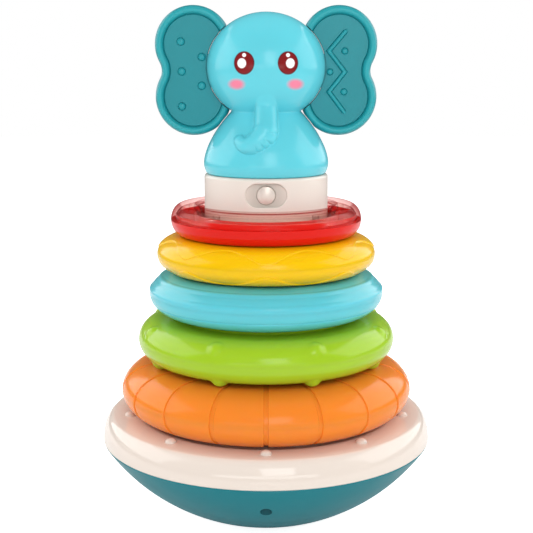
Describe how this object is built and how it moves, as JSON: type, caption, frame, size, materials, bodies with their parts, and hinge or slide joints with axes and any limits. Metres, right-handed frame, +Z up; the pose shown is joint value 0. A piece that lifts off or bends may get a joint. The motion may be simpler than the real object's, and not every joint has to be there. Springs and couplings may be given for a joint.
{
  "type": "stacking toy",
  "caption": "Baby stacking toy: hollow rings on a tapered post over a weighted round base, with a lift-off elephant top that has soft ears and a push button.",
  "frame": {"origin": "centre of the flat foot under the bowl, on the surface that the toy stands on", "axes": "+Z up along the post, the elephant looks along -Y, +X is to the right of someone facing it"},
  "size_m": [0.1632, 0.1632, 0.2528],
  "materials": {
    "teal_shell": "gloss moulded ABS",
    "cream_shell": "gloss moulded ABS",
    "button_cap": "gloss moulded, slightly translucent",
    "steel_screws": "zinc-plated",
    "iron_weight": "as cast",
    "orange_shell": "gloss moulded ABS",
    "green_shell": "gloss moulded ABS",
    "blue_shell": "gloss moulded ABS",
    "yellow_shell": "gloss moulded ABS",
    "clear_red_dome": "clear tinted polystyrene",
    "red_shell": "gloss moulded ABS",
    "turquoise_shell": "soft gloss moulded ABS with printed eyes and cheeks",
    "teal_silicone": "satin silicone",
    "board_green": "solder mask",
    "switch_black": "moulded",
    "lamp_clear": "clear epoxy",
    "cell_can": "plated steel can",
    "contact_brass": "pressed brass"
  },
  "bodies": {
    "base": {"base_bowl": "teal_shell", "base_cover": "cream_shell", "base_screws": "steel_screws", "counterweight": "iron_weight", "weight_screws": "steel_screws", "center_post": "cream_shell", "post_screws": "steel_screws"},
    "orange_ring": {"orange_ring_top": "orange_shell", "orange_ring_bottom": "orange_shell"},
    "green_ring": {"green_ring_top": "green_shell", "green_ring_bottom": "green_shell"},
    "blue_ring": {"blue_ring_top": "blue_shell", "blue_ring_bottom": "blue_shell"},
    "yellow_ring": {"yellow_ring_top": "yellow_shell", "yellow_ring_bottom": "yellow_shell"},
    "red_ring": {"red_ring_dome": "clear_red_dome", "red_ring_bottom": "red_shell"},
    "top_unit": {"head_front": "turquoise_shell", "head_back": "turquoise_shell", "head_screws": "steel_screws", "ear_left": "teal_silicone", "ear_right": "teal_silicone", "collar": "cream_shell", "collar_floor": "cream_shell", "collar_screws": "steel_screws", "circuit_board": "board_green", "tact_switch": "switch_black", "lamp": "lamp_clear", "speaker": "switch_black", "button_cells": "cell_can", "cell_contacts": "contact_brass", "battery_door": "cream_shell", "door_screw": "steel_screws"},
    "button": {"push_button": "button_cap", "switch_plunger": "switch_black"}
  },
  "joints": [
    {"name": "orange_lift", "type": "slide", "parent": "base", "child": "orange_ring", "axis": [0, 0, 1], "range_m": [0, 0.11]},
    {"name": "green_lift", "type": "slide", "parent": "orange_ring", "child": "green_ring", "axis": [0, 0, 1], "range_m": [0, 0.085]},
    {"name": "blue_lift", "type": "slide", "parent": "green_ring", "child": "blue_ring", "axis": [0, 0, 1], "range_m": [0, 0.06]},
    {"name": "yellow_lift", "type": "slide", "parent": "blue_ring", "child": "yellow_ring", "axis": [0, 0, 1], "range_m": [0, 0.04]},
    {"name": "red_lift", "type": "slide", "parent": "yellow_ring", "child": "red_ring", "axis": [0, 0, 1], "range_m": [0, 0.02]},
    {"name": "top_lift", "type": "slide", "parent": "red_ring", "child": "top_unit", "axis": [0, 0, 1], "range_m": [0, 0.03]},
    {"name": "button_press", "type": "slide", "parent": "top_unit", "child": "button", "axis": [0, 1, 0], "range_m": [0, 0.0012], "stiffness_N_per_m": 250}
  ]
}
